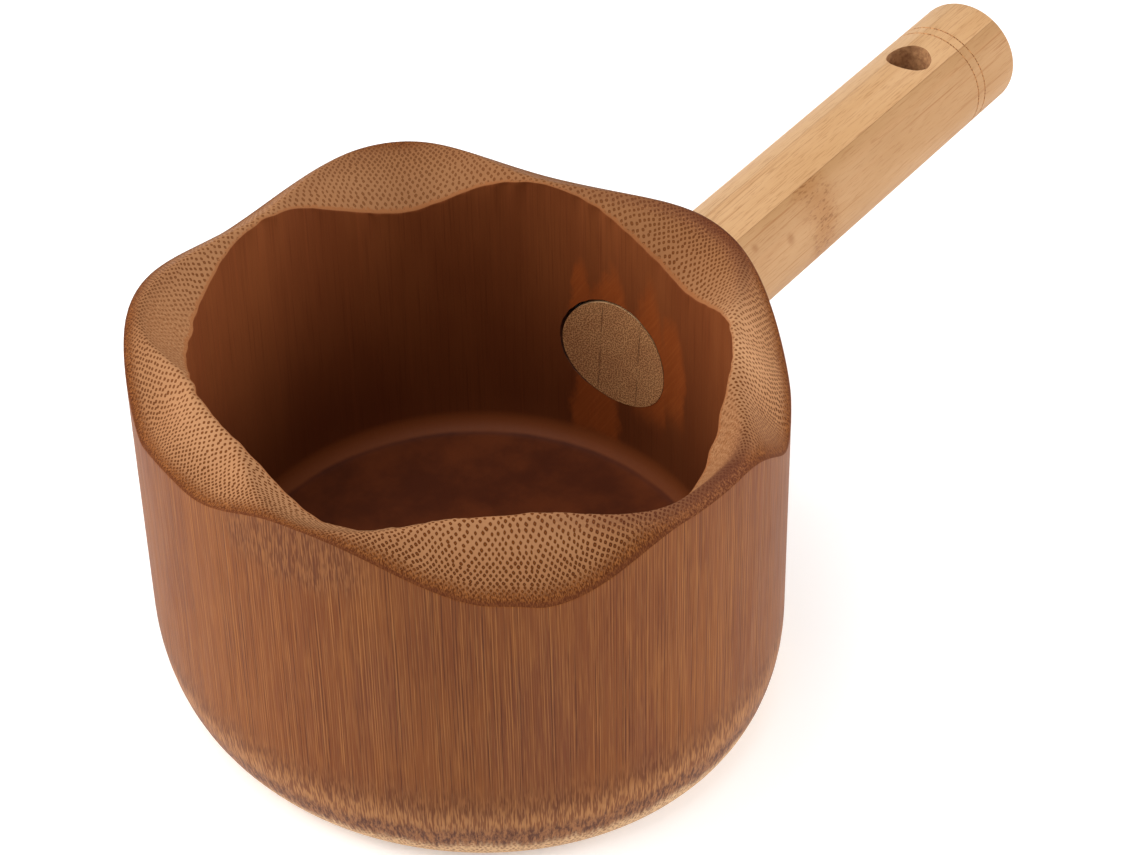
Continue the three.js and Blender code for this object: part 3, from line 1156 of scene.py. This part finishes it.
def barProfile():
    radius, endRound, clear = bar["radius"], bar["endRound"], bar["rowClear"]
    points = [(bar["footX"], radius * i / bar["footRings"]) for i in range(bar["footRings"] + 1)]
    count = int((barEnd - bar["firstRow"]) / bar["rowPitch"]) + 1
    rows = [bar["firstRow"] + bar["rowPitch"] * i for i in range(count)]
    points += [(x, radius) for x in rows if x < min(ringPlaces) - clear]
    half, low = bar["ringWidth"] / 2, radius - bar["ringDepth"]
    for ring in sorted(ringPlaces):
        points += [(ring - half, radius), (ring - half / 3, low)]
        points += [(ring + half / 3, low), (ring + half, radius)]
    bend = barEnd - endRound
    points += [(x, radius) for x in rows if max(ringPlaces) + clear < x < bend - clear]
    points.append((bend, radius))
    for turn in quarter(bar["roundSteps"]):
        points.append((bend + endRound * math.sin(turn), radius - endRound * (1 - math.cos(turn))))
    rings = bar["endRings"]
    points += [(barEnd, (radius - endRound) * (1 - i / rings)) for i in range(1, rings + 1)]
    return [(x * mm, barY * mm, (bar["height"] + r) * mm) for x, r in points]


def footOnWall(piece):
    # the foot ends flush with the inside of the bowl
    for point in piece.data.vertices:
        x, y, z = point.co / mm
        if x < bar["footX"] + bar["footSlack"]:
            side = y - leanY * z
            point.co.x = (leanX * z + math.sqrt(boreRadius ** 2 - side ** 2)) * mm


def makeBlank():
    axisPlace = (0, barY * mm, bar["height"] * mm)
    blank = turnPiece("handleBlank", barProfile(), bar["turns"], axisPlace, (1, 0, 0))
    footOnWall(blank)
    for finish in (bpy.data.materials.new("plainBlank"), endGrainFinish()):
        blank.data.materials.append(finish)
    for face in blank.data.polygons:
        face.material_index = 1 if abs(face.normal.x) > bar["endFacing"] else 0
    middle = (barEnd - bar["holeFromEnd"], barY + bar["holeOffset"], bar["height"])
    drill(
        blank, "hangingHole", bar["holeRadius"], middle, (0, 0, 0),
        bar["holeRough"], boredFinish("drilledHole", boredLook["hole"]),
    )
    return blank


def makeHandle():
    blank = makeBlank()
    plain = blank.data.materials[0]
    low, high = glueLines
    gap = bar["glue"] / 2
    cuts = {  # where each strip is cut from the blank, and the side that is kept
        "left": [(high + gap, 1)],
        "middle": [(low + gap, 1), (high - gap, -1)],
        "right": [(low - gap, -1)],
    }
    for name, planes in cuts.items():
        strip = blank.copy()
        strip.data = blank.data.copy()
        strip.name = strip.data.name = "handleStrip" + name.capitalize()
        bpy.context.scene.collection.objects.link(strip)
        makeActive(strip)
        bpy.ops.object.mode_set(mode="EDIT")
        for offset, keep in planes:
            bpy.ops.mesh.select_all(action="SELECT")
            bpy.ops.mesh.bisect(
                plane_co=(0, (barY + offset) * mm, 0), plane_no=(0, keep, 0),
                use_fill=True, clear_inner=True,
            )
        bpy.ops.mesh.select_all(action="SELECT")
        bpy.ops.mesh.normals_make_consistent(inside=False)
        bpy.ops.object.mode_set(mode="OBJECT")
        strip.data.materials[0] = stripFinish(name)
        bpy.ops.object.shade_smooth_by_angle(angle=math.radians(bar["smoothAngle"]))
        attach(strip, "root")
        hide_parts("handle_strip_" + name)
        print("strip", name, len(strip.data.polygons), "faces")
    bpy.data.objects.remove(blank)
    bpy.data.materials.remove(plain)


makeHandle()


# studio
studio = {
    "floorSize": 12,  # metres
    "floor": {  # a light table
        "Base Color": tone(240, 240, 240),
        "Roughness": 0.9,
        "Specular IOR Level": 0.1,
        "Emission Color": (1, 1, 1, 1),
        "Emission Strength": 0.3,
    },
    "sky": 0.34,
    "lamps": [  # name, place, aim, size, power; metres and watts
        ("leftSoftbox", (-0.8, 1.05, 0.6), (0, 0, 0.05), 0.9, 17),
        ("rightSoftbox", (0.75, -1.1, 0.6), (0, 0, 0.05), 0.9, 15),
        ("topSoftbox", (-0.45, 0.15, 1.45), (0.03, 0, 0.05), 1.0, 12),
    ],
}


def makeStudio():
    bpy.ops.mesh.primitive_plane_add(size=studio["floorSize"])
    floor = bpy.context.object
    floor.name = "studioFloor"
    material, tree, shader = newFinish("studioFloor")
    for name, value in studio["floor"].items():
        shader.inputs[name].default_value = value
    floor.data.materials.append(material)
    world = bpy.data.worlds.new("studioSky")
    world.use_nodes = True
    sky = world.node_tree.nodes["Background"]
    sky.inputs["Color"].default_value = (1, 1, 1, 1)
    sky.inputs["Strength"].default_value = studio["sky"]
    bpy.context.scene.world = world
    for name, place, aim, size, power in studio["lamps"]:
        data = bpy.data.lights.new(name, "AREA")
        data.size = size
        data.energy = power
        aimed(name, data, place, aim)
    bpy.context.scene.view_settings.view_transform = "Standard"
    print("studio lit")


makeStudio()
